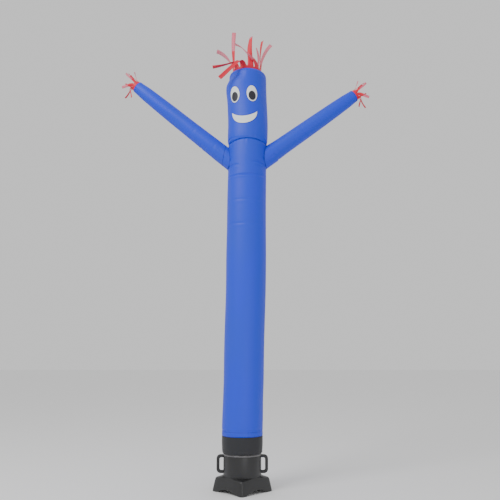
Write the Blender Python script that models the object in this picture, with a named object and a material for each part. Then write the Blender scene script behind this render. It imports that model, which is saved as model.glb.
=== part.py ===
"""Inflatable air dancer standing on its blower.

Metres, +Z up. The origin is on the floor, on the blower's axis. The face looks along -Y,
and the arms reach up and out along +X and -X. The tube leans a little towards +X.
"""
import math
from collections import namedtuple

import bmesh
import bpy
import numpy as np
from mathutils import Matrix, Vector

# Driving sizes
CLOTH = 0.002                # thickness of every sheet of cloth
GAP = 0.0004                 # space between pieces that touch
SEAM_GAP = 0.0028            # space between a curved sleeve end and the tube it is sewn to
TUBE_SIDES = 36
SLEEVE_SIDES = 20
PLASTIC_SIDES = 64

COLLAR_RADIUS = 0.228        # the neck of the blower, inside the cuff
COLLAR_TOP = 0.58
LIP_RADIUS = 0.2395
LIP_BOTTOM = 0.426
LIP_TOP = 0.450
DRUM_RADIUS = 0.2345
DRUM_BOTTOM = 0.172
CUFF_TOP = 0.660

HANDLE_REACH = 0.318         # from the axis to the outside of a handle
HANDLE_BOTTOM = 0.211
HANDLE_TOP = 0.434
HANDLE_BAR = 0.037
HANDLE_DEPTH = 0.034
HANDLE_CORNER = 0.048

FOOT_ARCH = 0.045            # rise of the base's lower edge between two feet
FOOT_PAD_DEG = 6.0           # half of a foot's flat stretch, seen from the axis
BASE_RECESS = 0.055          # height of the underside inside the feet
RIDGE_BLUNT = 0.05           # how blunt the ridge of each leg is

FACE_ARC = -0.052            # arc along the head from its front to the face's middle
EYE_SPREAD = 0.120           # arc from the face's middle to an eye
EYE_HEIGHT = 5.046
EYE_HALF = (0.075, 0.1135)
PUPIL_DROP = 0.029
PUPIL_HALF = (0.046, 0.062)
MOUTH_HEIGHT = 4.810         # height of the mouth's corners
MOUTH_HALF = 0.183
MOUTH_TOP_SAG = 0.072
MOUTH_BOTTOM_SAG = 0.176
MOUTH_CORNER = 0.008         # height left at each corner of the mouth
PATCH_LIFT = 0.0009          # a patch's height off what it is sewn to
PATCH_THICKNESS = 0.0012

# Rings of the tubes, bottom to top: height, middle, radius, and drop of the ring's two sides
Ring = namedtuple("Ring", "height middle_x radius side_drop")
BODY_RINGS = (
    Ring(CUFF_TOP + GAP, 0.000, 0.2515, 0.000),
    Ring(0.672, 0.000, 0.2540, 0.000),
    Ring(0.700, 0.000, 0.2535, 0.000),
    Ring(0.717, 0.000, 0.2505, 0.000),
    Ring(0.740, 0.000, 0.2545, 0.000),
    Ring(0.850, 0.002, 0.2545, 0.000),
    Ring(1.100, 0.008, 0.2515, 0.000),
    Ring(1.350, 0.016, 0.2520, 0.000),
    Ring(1.700, 0.021, 0.2540, 0.000),
    Ring(2.100, 0.031, 0.2560, 0.000),
    Ring(2.500, 0.041, 0.2580, 0.000),
    Ring(2.900, 0.045, 0.2600, 0.000),
    Ring(3.270, 0.049, 0.2570, 0.000),
    Ring(3.310, 0.049, 0.2545, 0.000),
    Ring(3.350, 0.049, 0.2565, 0.000),
    Ring(3.580, 0.050, 0.2575, 0.000),
    Ring(3.620, 0.050, 0.2550, 0.000),
    Ring(3.660, 0.050, 0.2575, 0.000),
    Ring(3.910, 0.054, 0.2555, 0.000),
    Ring(3.945, 0.055, 0.2525, 0.000),
    Ring(3.980, 0.056, 0.2550, 0.000),
    Ring(4.080, 0.057, 0.2530, 0.000),
    Ring(4.250, 0.059, 0.2560, 0.000),
    Ring(4.370, 0.060, 0.2550, 0.008),
    Ring(4.420, 0.061, 0.2510, 0.026),
    Ring(4.438, 0.061, 0.2440, 0.034),
)
HEAD_RINGS = (
    Ring(4.440, 0.061, 0.2450, 0.034),
    Ring(4.452, 0.061, 0.2560, 0.028),
    Ring(4.480, 0.062, 0.2645, 0.016),
    Ring(4.540, 0.064, 0.2680, 0.000),
    Ring(4.700, 0.067, 0.2675, 0.000),
    Ring(4.900, 0.061, 0.2675, 0.000),
    Ring(5.050, 0.055, 0.2675, 0.000),
    Ring(5.240, 0.050, 0.2675, 0.000),
    Ring(5.335, 0.050, 0.2670, 0.000),
    Ring(5.378, 0.051, 0.2620, 0.000),
    Ring(5.406, 0.052, 0.2470, 0.000),
    Ring(5.422, 0.053, 0.2240, 0.000),
    Ring(5.430, 0.054, 0.1880, 0.000),
)
CUFF_RINGS = (
    Ring(LIP_TOP + GAP, 0.000, 0.2360, 0.000),
    Ring(0.460, 0.000, 0.2440, 0.000),
    Ring(0.480, 0.000, 0.2490, 0.000),
    Ring(0.520, 0.000, 0.2520, 0.000),
    Ring(0.590, 0.000, 0.2545, 0.000),
    Ring(0.640, 0.000, 0.2540, 0.000),
    Ring(CUFF_TOP, 0.000, 0.2520, 0.000),
)

# The side of the head that has fallen in under the strips lying on it
HEAD_DENT = {"turn_deg": -62.0, "height": 5.350, "depth": 0.034, "wide_deg": 34.0, "tall": 0.070}

# A sleeve runs from its root to its hand, both at y = 0; stations give its radius
Sleeve = namedtuple("Sleeve", "root hand stations")
SLEEVE_LEFT = Sleeve((-0.250, 4.272), (-1.440, 5.248),
                     ((0.0, 0.121), (0.15, 0.117), (0.5, 0.107), (0.88, 0.094), (1.0, 0.077)))
SLEEVE_RIGHT = Sleeve((0.320, 4.256), (1.508, 5.119),
                      ((0.0, 0.130), (0.15, 0.119), (0.5, 0.108), (0.88, 0.095), (1.0, 0.082)))
SLEEVE_STEPS = 9
GUSSET_TOP = 0.028           # length of the left gusset along the sleeve, at its top
GUSSET_BOTTOM = 0.098        # and at its underside

# Strips of a fringe. Angles in degrees: where the strip is on the ring, how far it leans out
# and sideways near its root and at its tip, and its twist along its length.
Strip = namedtuple("Strip", "at length width out_low out_high side_low side_high twist")
Comb = namedtuple("Comb", "radius flare band slit steps strips")
HEAD_COMB = Comb(radius=0.186, flare=1.03, band=0.035, slit=0.012, steps=8, strips=(
    Strip(-165, 0.32, 0.060, 15, 40, -10, -20, 20),
    Strip(-135, 0.36, 0.060, 15, 45, -15, -20, -25),
    Strip(-105, 0.42, 0.082, 5, 65, 0, 20, 30),
    Strip(-75, 0.535, 0.056, 10, -5, 15, 0, 75),
    Strip(-45, 0.38, 0.045, 130, 100, -10, -50, 45),
    Strip(-15, 0.50, 0.056, 150, 165, -30, -45, -25),
    Strip(15, 0.46, 0.066, 0, -15, -15, 15, -60),
    Strip(45, 0.46, 0.064, 30, -60, -95, -20, 20),
    Strip(75, 0.42, 0.056, 0, 10, -25, 10, 55),
    Strip(105, 0.46, 0.050, -5, 40, 0, -10, 80),
    Strip(135, 0.42, 0.066, 25, -25, -20, 5, -35),
    Strip(165, 0.32, 0.060, 15, 40, 8, 20, 15),
))
HAND_COMB = Comb(radius=0.074, flare=0.94, band=0.030, slit=0.008, steps=5, strips=(
    Strip(-157, 0.16, 0.030, 10, 0, 15, 10, 20),
    Strip(-112, 0.17, 0.028, 115, 85, 10, 15, 25),
    Strip(-67, 0.18, 0.026, 150, 140, 10, -15, -30),
    Strip(-22, 0.17, 0.036, 25, 15, -50, -55, 15),
    Strip(22, 0.19, 0.026, 10, 5, -15, 10, -40),
    Strip(67, 0.19, 0.036, -5, 5, -10, 10, 25),
    Strip(112, 0.18, 0.026, 25, 35, -5, -15, -50),
    Strip(157, 0.19, 0.028, 5, 5, -30, -10, 35),
))

# The blower's base and the seat of its drum: height, reach at the legs, reach between them
BaseRing = namedtuple("BaseRing", "height leg side arched")
BASE_RINGS = (
    BaseRing(0.000, 0.364, 0.252, True),
    BaseRing(0.030, 0.360, 0.251, True),
    BaseRing(0.090, 0.346, 0.248, False),
    BaseRing(0.145, 0.332, 0.246, False),
    BaseRing(0.163, 0.322, 0.244, False),
    BaseRing(0.172, 0.300, 0.242, False),
    BaseRing(0.184, 0.246, 0.238, False),
    BaseRing(0.186, DRUM_RADIUS + GAP, DRUM_RADIUS + GAP, False),
    BaseRing(DRUM_BOTTOM - GAP, DRUM_RADIUS + GAP, DRUM_RADIUS + GAP, False),
)
# Its underside, from the feet to the middle
BASE_UNDERSIDE = (
    BaseRing(BASE_RECESS, 0.250, 0.190, False),
    BaseRing(0.000, 0.290, 0.232, True),
)


def material(name, colour, roughness):
    """A plain surface of one colour."""
    made = bpy.data.materials.new(name)
    made.use_nodes = True
    shader = made.node_tree.nodes["Principled BSDF"]
    shader.inputs["Base Color"].default_value = (*colour, 1.0)
    shader.inputs["Roughness"].default_value = roughness
    shader.inputs["Metallic"].default_value = 0.0
    return made


def place(name, mesh, colour, roughness):
    """Put a mesh into the scene as one named sub-part with its own material."""
    mesh.materials.append(material(name, colour, roughness))
    mesh.shade_smooth()
    mesh.set_sharp_from_angle(angle=math.radians(40))
    made = bpy.data.objects.new(name, mesh)
    bpy.context.collection.objects.link(made)
    return made


def thicken(cloth, thickness, side):
    """Give a sheet its thickness: side -1 adds it inside, 1 outside, 0 on both sides."""
    solid = cloth.modifiers.new("thickness", "SOLIDIFY")
    solid.thickness = thickness
    solid.offset = side
    solid.use_even_offset = False


def skin(name, rings, closed_ends=False):
    """A mesh through rings of equal count; closed_ends fills the first and last ring."""
    mesh = bpy.data.meshes.new(name)
    built = bmesh.new()
    rows = [[built.verts.new(point) for point in ring] for ring in rings]
    count = len(rows[0])
    for low, high in zip(rows, rows[1:]):
        for k in range(count):
            after = (k + 1) % count
            built.faces.new((low[k], low[after], high[after], high[k]))
    if closed_ends:
        built.faces.new(list(reversed(rows[0])))
        built.faces.new(rows[-1])
    built.to_mesh(mesh)
    built.free()
    return mesh


def around(turn):
    """The horizontal direction at an angle from the front, -Y, towards +X."""
    return Vector((math.sin(turn), -math.cos(turn), 0.0))


def head_dent(turn, height):
    """How far the head's wall has fallen in at one place."""
    across = (math.degrees(turn) - HEAD_DENT["turn_deg"] + 180.0) % 360.0 - 180.0
    wide = (across / HEAD_DENT["wide_deg"]) ** 2
    tall = ((height - HEAD_DENT["height"]) / HEAD_DENT["tall"]) ** 2
    return HEAD_DENT["depth"] * math.exp(-wide - tall)


def tube(name, rings, dent=None):
    """A tube through a table of rings."""
    loops = []
    for ring in rings:
        loop = []
        for k in range(TUBE_SIDES):
            turn = 2.0 * math.pi * k / TUBE_SIDES
            height = ring.height - ring.side_drop * math.sin(turn) ** 2
            radius = ring.radius - (dent(turn, height) if dent else 0.0)
            loop.append(Vector((ring.middle_x, 0.0, height)) + radius * around(turn))
        loops.append(loop)
    return skin(name, loops)


def at_height(rings, height):
    """The middle and the radius of a tube between two of its rings."""
    heights = [ring.height for ring in rings]
    middle = np.interp(height, heights, [ring.middle_x for ring in rings])
    radius = np.interp(height, heights, [ring.radius for ring in rings])
    return float(middle), float(radius)


def sleeve_frame(sleeve):
    """The sleeve's root, its front, its other side, its direction and its length."""
    root = Vector((sleeve.root[0], 0.0, sleeve.root[1]))
    run = Vector((sleeve.hand[0], 0.0, sleeve.hand[1])) - root
    along = run.normalized()
    front = Vector((0.0, -1.0, 0.0))
    return root, front, along.cross(front), along, run.length


def sleeve_point(sleeve, turn, station):
    """A point of the sleeve's wall; station is 0 at the root and 1 at the hand."""
    root, front, other, along, length = sleeve_frame(sleeve)
    stations = [row[0] for row in sleeve.stations]
    radius = float(np.interp(station, stations, [row[1] for row in sleeve.stations]))
    outward = front * math.cos(turn) + other * math.sin(turn)
    return root + along * (length * station) + outward * radius


def station_at_body(sleeve, turn):
    """The station where the sleeve's wall meets the body tube, a seam's gap away."""
    inside, outside = -0.3, 0.5
    for _ in range(30):
        station = (inside + outside) / 2.0
        point = sleeve_point(sleeve, turn, station)
        middle, radius = at_height(BODY_RINGS, point.z)
        if math.hypot(point.x - middle, point.y) < radius + SEAM_GAP:
            inside = station
        else:
            outside = station
    return outside


def sleeve_mesh(name, sleeve, start, end, steps):
    """The stretch of a sleeve between two stations, each a function of the turn."""
    loops = []
    for i in range(steps + 1):
        loop = []
        for k in range(SLEEVE_SIDES):
            turn = 2.0 * math.pi * k / SLEEVE_SIDES
            station = start(turn) + (end(turn) - start(turn)) * i / steps
            loop.append(sleeve_point(sleeve, turn, station))
        loops.append(loop)
    return skin(name, loops)


def gusset_end(turn):
    """The station of the seam between the left gusset and the left sleeve."""
    length = sleeve_frame(SLEEVE_LEFT)[4]
    top = station_at_body(SLEEVE_LEFT, math.pi / 2.0) + GUSSET_TOP / length
    bottom = station_at_body(SLEEVE_LEFT, -math.pi / 2.0) + GUSSET_BOTTOM / length
    return (top + bottom) / 2.0 + (top - bottom) / 2.0 * math.sin(turn)


def comb_mesh(name, comb, origin, front, along, hand=1):
    """A band with strips, one sheet. hand -1 mirrors the order and lean of the strips."""
    other = along.cross(front)
    strips = sorted((strip._replace(at=hand * strip.at) for strip in comb.strips))
    pitch = 2.0 * math.pi / len(strips)
    mesh = bpy.data.meshes.new(name)
    built = bmesh.new()
    bottom, top = [], []
    for strip in strips:
        for side in (-0.5, 0.5):
            turn = math.radians(strip.at) + side * (pitch - comb.slit / comb.radius)
            outward = front * math.cos(turn) + other * math.sin(turn)
            bottom.append(built.verts.new(origin + outward * comb.radius))
            top.append(built.verts.new(origin + along * comb.band + outward * comb.radius * comb.flare))
    count = len(top)
    for k in range(count):
        after = (k + 1) % count
        built.faces.new((bottom[k], bottom[after], top[after], top[k]))
    for index, strip in enumerate(strips):
        left, right = top[2 * index], top[2 * index + 1]
        add_strip(built, strip, left, right, front, other, along, hand, comb.steps)
    built.to_mesh(mesh)
    built.free()
    return mesh


def add_strip(built, strip, left, right, front, other, along, hand, steps):
    """Grow one strip from the edge between two points of the band."""
    turn = math.radians(strip.at)
    outward = front * math.cos(turn) + other * math.sin(turn)
    sideways = other * math.cos(turn) - front * math.sin(turn)
    middle = (left.co + right.co) / 2.0
    root_width = (right.co - left.co).length
    for i in range(1, steps + 1):
        part = i / steps
        start = min(1.0, part * 3.0)
        out = math.radians(strip.out_low * start + (strip.out_high - strip.out_low) * part)
        side = math.radians(strip.side_low * start + (strip.side_high - strip.side_low) * part) * hand
        heading = (along * math.cos(out) + outward * math.sin(out)) * math.cos(side) + sideways * math.sin(side)
        across = sideways - heading * sideways.dot(heading)
        twist = Matrix.Rotation(math.radians(strip.twist) * part * hand, 3, heading)
        middle = middle + heading * (strip.length / steps)
        width = strip.width + (root_width - strip.width) * max(0.0, 1.0 - part * 4.0)
        half = twist @ across.normalized() * (width / 2.0)
        next_left, next_right = built.verts.new(middle - half), built.verts.new(middle + half)
        built.faces.new((left, right, next_right, next_left))
        left, right = next_left, next_right


def patch_point(arc, height, lift):
    """A point over the head's wall, at an arc from its front and a height."""
    middle, radius = at_height(HEAD_RINGS, height)
    return Vector((middle, 0.0, height)) + (radius + lift) * around(arc / radius)


def oval_mesh(name, arc, height, half, lift):
    """An oval patch lying on the head's wall."""
    sides, steps = 24, 3
    mesh = bpy.data.meshes.new(name)
    built = bmesh.new()
    centre = built.verts.new(patch_point(arc, height, lift))
    rows = []
    for i in range(1, steps + 1):
        row = []
        for k in range(sides):
            turn = 2.0 * math.pi * k / sides
            over = arc + half[0] * math.cos(turn) * i / steps
            up = height + half[1] * math.sin(turn) * i / steps
            row.append(built.verts.new(patch_point(over, up, lift)))
        rows.append(row)
    for k in range(sides):
        after = (k + 1) % sides
        built.faces.new((centre, rows[0][k], rows[0][after]))
        for low, high in zip(rows, rows[1:]):
            built.faces.new((low[k], high[k], high[after], low[after]))
    built.to_mesh(mesh)
    built.free()
    return mesh


def mouth_mesh(name, lift):
    """A crescent patch: a parabola above, half an oval below."""
    columns, steps = 16, 4
    mesh = bpy.data.meshes.new(name)
    built = bmesh.new()
    rows = []
    for i in range(columns + 1):
        across = math.sin(math.pi * (i / columns - 0.5))
        upper = MOUTH_HEIGHT - MOUTH_TOP_SAG * (1.0 - across ** 2)
        lower = MOUTH_HEIGHT - MOUTH_CORNER - (MOUTH_BOTTOM_SAG - MOUTH_CORNER) * math.sqrt(1.0 - across ** 2)
        arc = FACE_ARC + MOUTH_HALF * across
        row = []
        for step in range(steps + 1):
            height = lower + (upper - lower) * step / steps
            row.append(built.verts.new(patch_point(arc, height, lift)))
        rows.append(row)
    for near, far in zip(rows, rows[1:]):
        for step in range(steps):
            built.faces.new((near[step], far[step], far[step + 1], near[step + 1]))
    built.to_mesh(mesh)
    built.free()
    return mesh


def turned_mesh(name, profile):
    """A solid of revolution about Z; the profile's rows are radius and height."""
    mesh = bpy.data.meshes.new(name)
    built = bmesh.new()
    points = [built.verts.new((radius, 0.0, height)) for radius, height in profile]
    edges = [built.edges.new(pair) for pair in zip(points, points[1:])]
    bmesh.ops.spin(built, geom=points + edges, cent=(0, 0, 0), axis=(0, 0, 1),
                   angle=2.0 * math.pi, steps=PLASTIC_SIDES, use_duplicate=False)
    bmesh.ops.remove_doubles(built, verts=built.verts, dist=0.00005)
    bmesh.ops.recalc_face_normals(built, faces=built.faces)
    built.to_mesh(mesh)
    built.free()
    return mesh


def drum_mesh(name):
    """The drum with its collar, and a shallow dish where the air comes out."""
    return turned_mesh(name, (
        (0.0, DRUM_BOTTOM),
        (DRUM_RADIUS - 0.008, DRUM_BOTTOM),
        (DRUM_RADIUS, DRUM_BOTTOM + 0.008),
        (DRUM_RADIUS, LIP_BOTTOM - GAP),
        (COLLAR_RADIUS, LIP_BOTTOM - GAP),
        (COLLAR_RADIUS, COLLAR_TOP),
        (COLLAR_RADIUS - 0.012, COLLAR_TOP),
        (COLLAR_RADIUS - 0.012, COLLAR_TOP - 0.05),
        (0.0, COLLAR_TOP - 0.05),
    ))


def lip_mesh(name):
    """The rounded ring that stops the cuff."""
    inner = COLLAR_RADIUS + GAP
    return turned_mesh(name, (
        (inner, LIP_BOTTOM),
        (LIP_RADIUS - 0.005, LIP_BOTTOM),
        (LIP_RADIUS, LIP_BOTTOM + 0.006),
        (LIP_RADIUS, LIP_TOP - 0.008),
        (LIP_RADIUS - 0.005, LIP_TOP - 0.001),
        (inner, LIP_TOP),
        (inner, LIP_BOTTOM),
    ))


def base_ring(row):
    """One ring of the base: four blunt ridges at the legs, hollow sides between them."""
    power = 1.0 / (0.5 - math.log2(row.side / row.leg))
    tip = ((1.0 + RIDGE_BLUNT ** 2) ** (power / 2.0) + RIDGE_BLUNT ** power) ** (1.0 / power)
    ring = []
    for k in range(PLASTIC_SIDES):
        turn = 2.0 * math.pi * k / PLASTIC_SIDES
        spans = [math.hypot(value, RIDGE_BLUNT) ** power for value in (math.cos(turn), math.sin(turn))]
        reach = row.leg * tip / sum(spans) ** (1.0 / power)
        from_leg = abs((math.degrees(turn) + 45.0) % 90.0 - 45.0)
        climb = max(0.0, (from_leg - FOOT_PAD_DEG) / (45.0 - FOOT_PAD_DEG))
        arch = FOOT_ARCH * math.sin(climb * math.pi / 2.0) if row.arched else 0.0
        ring.append(around(turn) * reach + Vector((0.0, 0.0, row.height + arch)))
    return ring


def base_mesh(name):
    """The four-legged base."""
    return skin(name, [base_ring(row) for row in BASE_UNDERSIDE + BASE_RINGS], closed_ends=True)


def arc_points(centre, radius, start_deg, end_deg, steps):
    """Points along an arc in the XZ plane."""
    points = []
    for i in range(steps + 1):
        turn = math.radians(start_deg + (end_deg - start_deg) * i / steps)
        points.append((centre[0] + radius * math.cos(turn), centre[1] + radius * math.sin(turn)))
    return points


def handle_mesh(name):
    """A D-shaped grip on the +X side, its two ends reaching into the drum's place."""
    inner_corner = HANDLE_CORNER - HANDLE_BAR * 0.75
    start = DRUM_RADIUS - 0.02
    side = HANDLE_REACH - HANDLE_CORNER
    slot_side = HANDLE_REACH - HANDLE_BAR - inner_corner
    slot_bottom, slot_top = HANDLE_BOTTOM + HANDLE_BAR, HANDLE_TOP - HANDLE_BAR
    outline = [(start, HANDLE_BOTTOM)]
    outline += arc_points((side, HANDLE_BOTTOM + HANDLE_CORNER), HANDLE_CORNER, -90, 0, 5)
    outline += arc_points((side, HANDLE_TOP - HANDLE_CORNER), HANDLE_CORNER, 0, 90, 5)
    outline += [(start, HANDLE_TOP), (start, slot_top)]
    outline += arc_points((slot_side, slot_top - inner_corner), inner_corner, 90, 0, 4)
    outline += arc_points((slot_side, slot_bottom + inner_corner), inner_corner, 0, -90, 4)
    outline += [(start, slot_bottom)]
    mesh = bpy.data.meshes.new(name)
    built = bmesh.new()
    near = built.faces.new([built.verts.new((x, -HANDLE_DEPTH / 2.0, z)) for x, z in outline])
    grown = bmesh.ops.extrude_face_region(built, geom=[near])
    moved = [item for item in grown["geom"] if isinstance(item, bmesh.types.BMVert)]
    bmesh.ops.translate(built, verts=moved, vec=(0.0, HANDLE_DEPTH, 0.0))
    bmesh.ops.recalc_face_normals(built, faces=built.faces)
    built.to_mesh(mesh)
    built.free()
    return mesh


def build_handles(plastic):
    """Both grips, rounded along their edges and cut to the drum's wall."""
    low, high = HANDLE_BOTTOM - 0.1, HANDLE_TOP + 0.1
    drum, lip, step = DRUM_RADIUS + GAP, LIP_RADIUS + GAP, LIP_BOTTOM - GAP
    cutter_profile = ((0.0, low), (drum, low), (drum, step), (lip, step), (lip, high), (0.0, high))
    cutter = bpy.data.objects.new("drum_room", turned_mesh("drum_room", cutter_profile))
    cutter.hide_render = True
    cutter.display_type = "WIRE"
    bpy.context.collection.objects.link(cutter)
    for name, turn in (("handle_right", 0.0), ("handle_left", math.pi)):
        mesh = handle_mesh(name)
        mesh.transform(Matrix.Rotation(turn, 4, "Z"))
        handle = place(name, mesh, *plastic)
        rounding = handle.modifiers.new("rounding", "BEVEL")
        rounding.width = 0.009
        rounding.segments = 2
        rounding.limit_method = "ANGLE"
        rounding.angle_limit = math.radians(50)
        fit = handle.modifiers.new("fit", "BOOLEAN")
        fit.operation = "DIFFERENCE"
        fit.object = cutter


def build_tubes(blue):
    """The body, the head, the sleeves and the gusset."""
    thicken(place("body_tube", tube("body_tube", BODY_RINGS), *blue), CLOTH, -1)
    thicken(place("head_tube", tube("head_tube", HEAD_RINGS, head_dent), *blue), CLOTH, -1)
    step = GAP / sleeve_frame(SLEEVE_LEFT)[4]
    sleeves = (
        ("arm_left", SLEEVE_LEFT, lambda turn: gusset_end(turn) + step, lambda turn: 1.0, SLEEVE_STEPS),
        ("gusset_left", SLEEVE_LEFT, lambda turn: station_at_body(SLEEVE_LEFT, turn), gusset_end, 1),
        ("arm_right", SLEEVE_RIGHT, lambda turn: station_at_body(SLEEVE_RIGHT, turn), lambda turn: 1.0,
         SLEEVE_STEPS),
    )
    for name, sleeve, start, end, steps in sleeves:
        thicken(place(name, sleeve_mesh(name, sleeve, start, end, steps), *blue), CLOTH, -1)


def build_fringes(red):
    """The comb of strips around the vent and the two at the hands."""
    vent = HEAD_RINGS[-1]
    front = Vector((0.0, -1.0, 0.0))
    origin = Vector((vent.middle_x, 0.0, vent.height + 2.0 * GAP))
    mesh = comb_mesh("head_streamers", HEAD_COMB, origin, front, Vector((0.0, 0.0, 1.0)))
    thicken(place("head_streamers", mesh, *red), CLOTH, 0)
    for name, sleeve, hand in (("hand_streamers_left", SLEEVE_LEFT, 1), ("hand_streamers_right", SLEEVE_RIGHT, -1)):
        root, front, _, along, length = sleeve_frame(sleeve)
        origin = root + along * (length + 2.0 * GAP)
        thicken(place(name, comb_mesh(name, HAND_COMB, origin, front, along, hand), *red), CLOTH, 0)


def build_face(white, black):
    """The eyes, their pupils and the mouth."""
    for name, side in (("left", -1), ("right", 1)):
        arc = FACE_ARC + side * EYE_SPREAD
        eye = oval_mesh(f"eye_{name}", arc, EYE_HEIGHT, EYE_HALF, PATCH_LIFT)
        thicken(place(f"eye_{name}", eye, *white), PATCH_THICKNESS, 1)
        lift = 2.0 * PATCH_LIFT + PATCH_THICKNESS
        pupil = oval_mesh(f"pupil_{name}", arc, EYE_HEIGHT - PUPIL_DROP, PUPIL_HALF, lift)
        thicken(place(f"pupil_{name}", pupil, *black), PATCH_THICKNESS, 1)
    thicken(place("mouth", mouth_mesh("mouth", PATCH_LIFT), *white), PATCH_THICKNESS, 1)


def main():
    """Build the whole object."""
    for old in list(bpy.data.objects):
        bpy.data.objects.remove(old)
    blue = ((0.028, 0.115, 0.80), 0.55)
    red = ((0.72, 0.006, 0.035), 0.55)
    white = ((0.80, 0.85, 0.85), 0.6)
    black = ((0.018, 0.018, 0.025), 0.6)
    plastic = ((0.010, 0.010, 0.011), 0.4)
    build_tubes(blue)
    thicken(place("cuff", tube("cuff", CUFF_RINGS), (0.016, 0.018, 0.022), 0.7), CLOTH, -1)
    build_fringes(red)
    build_face(white, black)
    place("blower_drum", drum_mesh("blower_drum"), *plastic)
    place("blower_lip", lip_mesh("blower_lip"), (0.020, 0.020, 0.022), 0.3)
    place("blower_base", base_mesh("blower_base"), *plastic)
    build_handles(plastic)


main()
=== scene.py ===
"""Finish of the inflatable air dancer and the blower that it stands on.

Metres, +Z up. The origin is on the floor under the blower, the face looks along -Y, and the
tube leans a little towards +X. Angles around a tube run from its front, -Y, towards +X.
"""
from __future__ import annotations

import logging
import math
from dataclasses import dataclass, field
from enum import Enum
from typing import Callable

import bpy
import numpy as np
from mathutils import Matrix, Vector


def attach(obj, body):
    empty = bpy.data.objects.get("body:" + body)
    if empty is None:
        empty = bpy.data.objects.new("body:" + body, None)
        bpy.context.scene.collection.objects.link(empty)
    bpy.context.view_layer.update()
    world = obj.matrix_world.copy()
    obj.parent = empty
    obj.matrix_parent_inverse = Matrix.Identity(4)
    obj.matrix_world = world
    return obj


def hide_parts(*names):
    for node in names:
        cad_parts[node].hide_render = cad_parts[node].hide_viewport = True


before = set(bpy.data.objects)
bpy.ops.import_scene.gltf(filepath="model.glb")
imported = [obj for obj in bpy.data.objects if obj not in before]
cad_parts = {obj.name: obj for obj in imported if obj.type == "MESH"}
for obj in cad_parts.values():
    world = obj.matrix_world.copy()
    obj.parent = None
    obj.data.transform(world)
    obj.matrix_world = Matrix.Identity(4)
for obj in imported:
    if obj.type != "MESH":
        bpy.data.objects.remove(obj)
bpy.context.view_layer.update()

logging.basicConfig(level=logging.INFO, format="%(levelname)s %(message)s")
LOG = logging.getLogger("air_dancer")

CLOTH = 0.0015          # thickness of the tubes' cloth
STRIP_CLOTH = 0.0009    # thickness of the streamers' cloth
SEED = 46
FULL_TURN = 2.0 * math.pi


class Held(Enum):
    """How a sheet of cloth is held in its shape."""

    STRETCHED = "stretched"
    HUNG = "hung"
    GATHERED = "gathered"


class Slot(Enum):
    """The record's material slots."""

    BLUE = "blue_cloth"
    RED = "red_cloth"
    BLACK = "black_cloth"
    WHITE = "white_cloth"
    PUPIL = "pupil_cloth"
    PLASTIC = "moulded_plastic"
    LIP_PAINTED_HIGHLIGHT = "lip_plastic"


# ---------------------------------------------------------------- shader groups


class NodeSheet:
    """A node tree with short calls to add and join its nodes."""

    def __init__(self, tree: bpy.types.NodeTree) -> None:
        """Keep the tree.

        Args:
            tree: the node tree that nodes are added to.
        """
        self.tree = tree

    def add(self, kind: str, **settings: object) -> bpy.types.Node:
        """Add one node.

        Args:
            kind: the node's type name.
            **settings: attributes of the node, set as given.

        Returns:
            The new node.
        """
        node = self.tree.nodes.new(kind)
        for key, value in settings.items():
            setattr(node, key, value)
        return node

    def join(self, source: bpy.types.NodeSocket, target: bpy.types.NodeSocket) -> None:
        """Link an output to an input."""
        self.tree.links.new(source, target)

    def math(self, operation: str, first: object, second: object = None) -> bpy.types.NodeSocket:
        """Add a math node.

        Args:
            operation: the operation's name.
            first: a socket or a number.
            second: a socket, a number, or None for one-sided operations.

        Returns:
            The node's output socket.
        """
        node = self.add("ShaderNodeMath", operation=operation)
        for index, value in enumerate((first, second)):
            if value is None:
                continue
            if isinstance(value, (int, float)):
                node.inputs[index].default_value = value
            else:
                self.join(value, node.inputs[index])
        return node.outputs[0]

    def noise(self, scale: object, detail: float = 2.0, stretch: tuple = (1.0, 1.0, 1.0)) -> bpy.types.NodeSocket:
        """Add a noise texture in object space.

        Args:
            scale: a socket or a number, in repeats a metre.
            detail: the noise's detail.
            stretch: the coordinates' scale along each axis.

        Returns:
            The noise value's socket.
        """
        place = self.add("ShaderNodeTexCoord")
        mapping = self.add("ShaderNodeMapping")
        mapping.inputs["Scale"].default_value = stretch
        self.join(place.outputs["Object"], mapping.inputs["Vector"])
        texture = self.add("ShaderNodeTexNoise")
        texture.inputs["Detail"].default_value = detail
        self.join(mapping.outputs["Vector"], texture.inputs["Vector"])
        if isinstance(scale, (int, float)):
            texture.inputs["Scale"].default_value = scale
        else:
            self.join(scale, texture.inputs["Scale"])
        return texture.outputs[0]


def new_group(name: str, inputs: dict[str, float], outputs: tuple[str, ...]) -> tuple:
    """Start a shader node group of plain values.

    Args:
        name: the group's name.
        inputs: each input's name and its first value.
        outputs: the outputs' names.

    Returns:
        The group, its sheet, its input node and its output node.
    """
    group = bpy.data.node_groups.new(name, "ShaderNodeTree")
    for key, value in inputs.items():
        socket = group.interface.new_socket(key, in_out="INPUT", socket_type="NodeSocketFloat")
        socket.default_value = value
    for key in outputs:
        group.interface.new_socket(key, in_out="OUTPUT", socket_type="NodeSocketFloat")
    sheet = NodeSheet(group)
    return group, sheet, sheet.add("NodeGroupInput"), sheet.add("NodeGroupOutput")


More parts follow.
